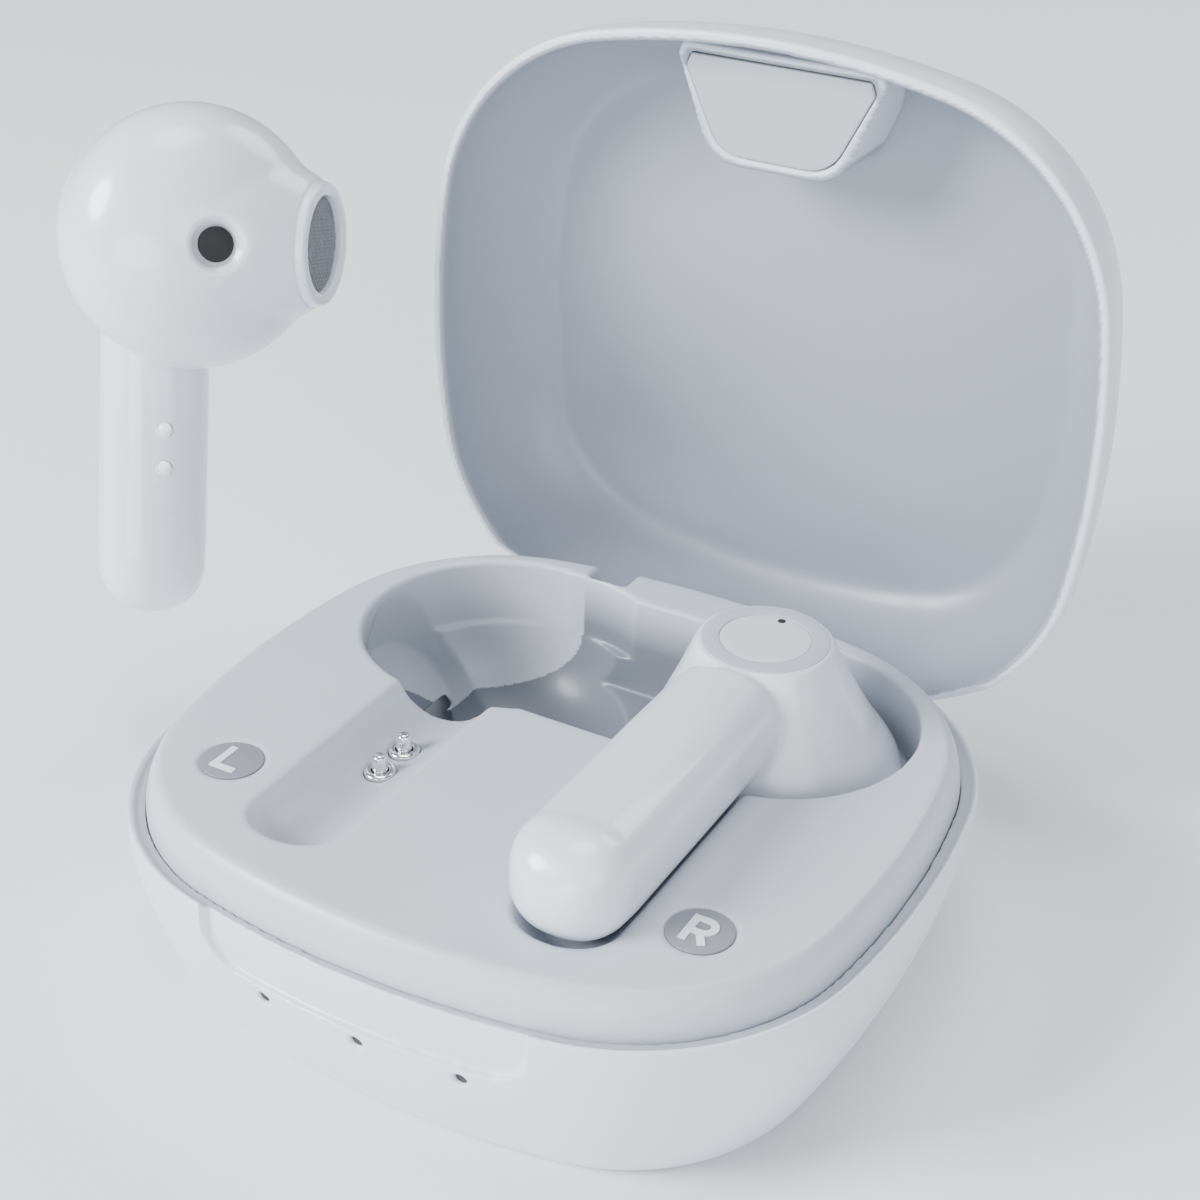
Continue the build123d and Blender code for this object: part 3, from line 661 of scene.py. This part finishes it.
# =============================== floor, light and camera ===============================
FLOOR = 1.2
floor_mesh = bpy.data.meshes.new("floor")
floor_mesh.from_pydata([(-FLOOR, -FLOOR, 0), (FLOOR, -FLOOR, 0), (FLOOR, FLOOR, 0), (-FLOOR, FLOOR, 0)], [],
                       [(0, 1, 2, 3)])
floor = bpy.data.objects.new("floor", floor_mesh)
bpy.context.scene.collection.objects.link(floor)
floor_material, floor_tree, floor_shader = new_material("floor_white")
floor_tree.links.new(ramp(floor_tree, noise(floor_tree, 4), (0.86, 0.87, 0.885), (0.89, 0.9, 0.91)),
                     floor_shader.inputs["Base Color"])
floor_shader.inputs["Roughness"].default_value = 0.75
floor_mesh.materials.append(floor_material)


def area_light(name, place, target, size, power, colour):
    light = bpy.data.lights.new(name, "AREA")
    light.shape = "DISK"
    light.size = size
    light.energy = power
    light.color = colour
    obj = bpy.data.objects.new(name, light)
    bpy.context.scene.collection.objects.link(obj)
    direction = Vector(target) - Vector(place)
    obj.location = place
    obj.rotation_euler = direction.to_track_quat("-Z", "Y").to_euler()


CENTRE = (0, 0.005, 0.02)
LAMPS = (("key", (-0.34, -0.36, 0.30), 0.26, 5.8, (0.98, 0.99, 1.0)),
         ("front", (0.06, -0.50, 0.05), 0.3, 1.4, (0.98, 0.99, 1.0)),
         ("fill", (0.45, -0.30, 0.22), 0.4, 1.5, (0.96, 0.98, 1.0)),
         ("top", (-0.05, 0.05, 0.60), 0.3, 1.6, (0.97, 0.985, 1.0)),
         ("rim", (0.10, 0.42, 0.40), 0.3, 1.4, (1, 1, 1)))
for lamp, place, size, power, colour in LAMPS:
    area_light(lamp, place, CENTRE, size, power, colour)

SKY_STRENGTH = 0.34
world = bpy.data.worlds.new("studio")
world.use_nodes = True
world.node_tree.nodes["Background"].inputs["Color"].default_value = (0.90, 0.93, 1.0, 1)
world.node_tree.nodes["Background"].inputs["Strength"].default_value = SKY_STRENGTH
bpy.context.scene.world = world

CAMERA_LENS = 63.41
CAMERA_PLACE = Vector((53.905, -95.091, 87.761))
camera_data = bpy.data.cameras.new("camera")
camera_data.sensor_width = 36
camera_data.lens = CAMERA_LENS
camera_data.clip_start = 0.005
camera = bpy.data.objects.new("camera", camera_data)
bpy.context.scene.collection.objects.link(camera)
camera_right = Vector((0.873226, 0.486759, 0.023275))
camera_up = Vector((-0.261362, 0.427492, 0.865414))
camera_back = Vector((0.411298, -0.761785, 0.500517))
turn = Matrix((camera_right, camera_up, camera_back)).transposed().to_4x4()
camera.matrix_world = Matrix.Translation(CAMERA_PLACE * MM) @ turn
bpy.context.scene.camera = camera
